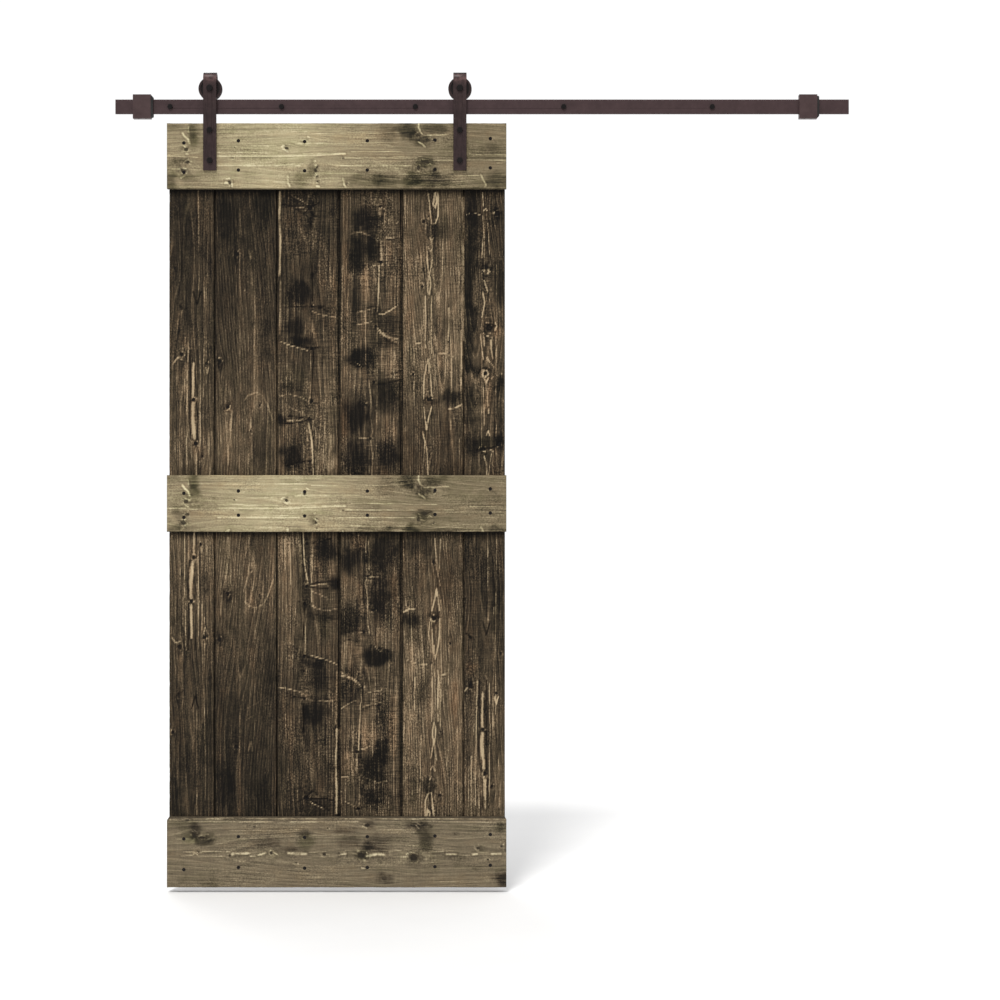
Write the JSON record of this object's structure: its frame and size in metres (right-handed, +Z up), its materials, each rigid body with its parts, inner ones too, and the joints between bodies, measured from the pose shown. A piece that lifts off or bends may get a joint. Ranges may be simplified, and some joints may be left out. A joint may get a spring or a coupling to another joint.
{
  "type": "sliding barn door with flat bar track",
  "caption": "Ledged plank barn door hung by bent strap hangers and grooved wheels from a flat bar track that stands off the wall on spacers.",
  "frame": {"origin": "midway between the two outer wall screws, where the spacers meet the wall, at the bar's middle height", "axes": "+X along the bar to the right as seen from the room, +Y into the wall, +Z up"},
  "size_m": [2.007, 0.1129, 2.2288],
  "materials": {
    "dark_planks": "dark espresso stain, rough sawn",
    "tan_ledges": "weathered tan stain, rough sawn",
    "bronze_paint": "satin dark bronze powder coat",
    "black_fasteners": "black oxide",
    "plain_steel": "zinc plated",
    "rubber": "matt"
  },
  "bodies": {
    "track": {"track": "bronze_paint", "wall_spacers": "bronze_paint", "lag_screws": "black_fasteners", "stop_left": "bronze_paint", "stop_right": "bronze_paint", "stop_pad_left": "rubber", "stop_pad_right": "rubber", "stop_set_screws": "black_fasteners"},
    "door": {"plank_1": "dark_planks", "plank_2": "dark_planks", "plank_3": "dark_planks", "plank_4": "dark_planks", "plank_5": "dark_planks", "plank_6": "dark_planks", "top_ledge": "tan_ledges", "middle_ledge": "tan_ledges", "bottom_ledge": "tan_ledges", "top_ledge_screws": "black_fasteners", "middle_ledge_screws": "black_fasteners", "bottom_ledge_screws": "black_fasteners", "strap_left": "bronze_paint", "strap_right": "bronze_paint", "door_bolts_left": "black_fasteners", "door_bolts_right": "black_fasteners", "bolt_washers_left": "plain_steel", "bolt_washers_right": "plain_steel", "bolt_nuts_left": "plain_steel", "bolt_nuts_right": "plain_steel", "axle_left": "black_fasteners", "axle_right": "black_fasteners", "axle_nut_left": "black_fasteners", "axle_nut_right": "black_fasteners", "axle_spacers_left": "plain_steel", "axle_spacers_right": "plain_steel", "bearing_inner_left": "plain_steel", "bearing_inner_right": "plain_steel"},
    "wheel_left": {"wheel_left": "bronze_paint", "bearing_outer_left": "plain_steel", "bearing_balls_left": "plain_steel", "bearing_shields_left": "rubber"},
    "wheel_right": {"wheel_right": "bronze_paint", "bearing_outer_right": "plain_steel", "bearing_balls_right": "plain_steel", "bearing_shields_right": "rubber"}
  },
  "joints": [
    {"name": "door_slide", "type": "slide", "parent": "track", "child": "door", "axis": [1, 0, 0], "range_m": [-0.133, 0.899]},
    {"name": "wheel_left_spin", "type": "hinge", "parent": "door", "child": "wheel_left", "pos_m": [-0.6315, -0.038, 0.0488], "axis": [0, 1, 0], "continuous": true},
    {"name": "wheel_right_spin", "type": "hinge", "parent": "door", "child": "wheel_right", "pos_m": [0.0515, -0.038, 0.0488], "axis": [0, 1, 0], "continuous": true}
  ],
  "couplings": [
    {"joint": "wheel_left_spin", "follows": "door_slide", "rad_per_m": 35.088},
    {"joint": "wheel_right_spin", "follows": "door_slide", "rad_per_m": 35.088}
  ]
}
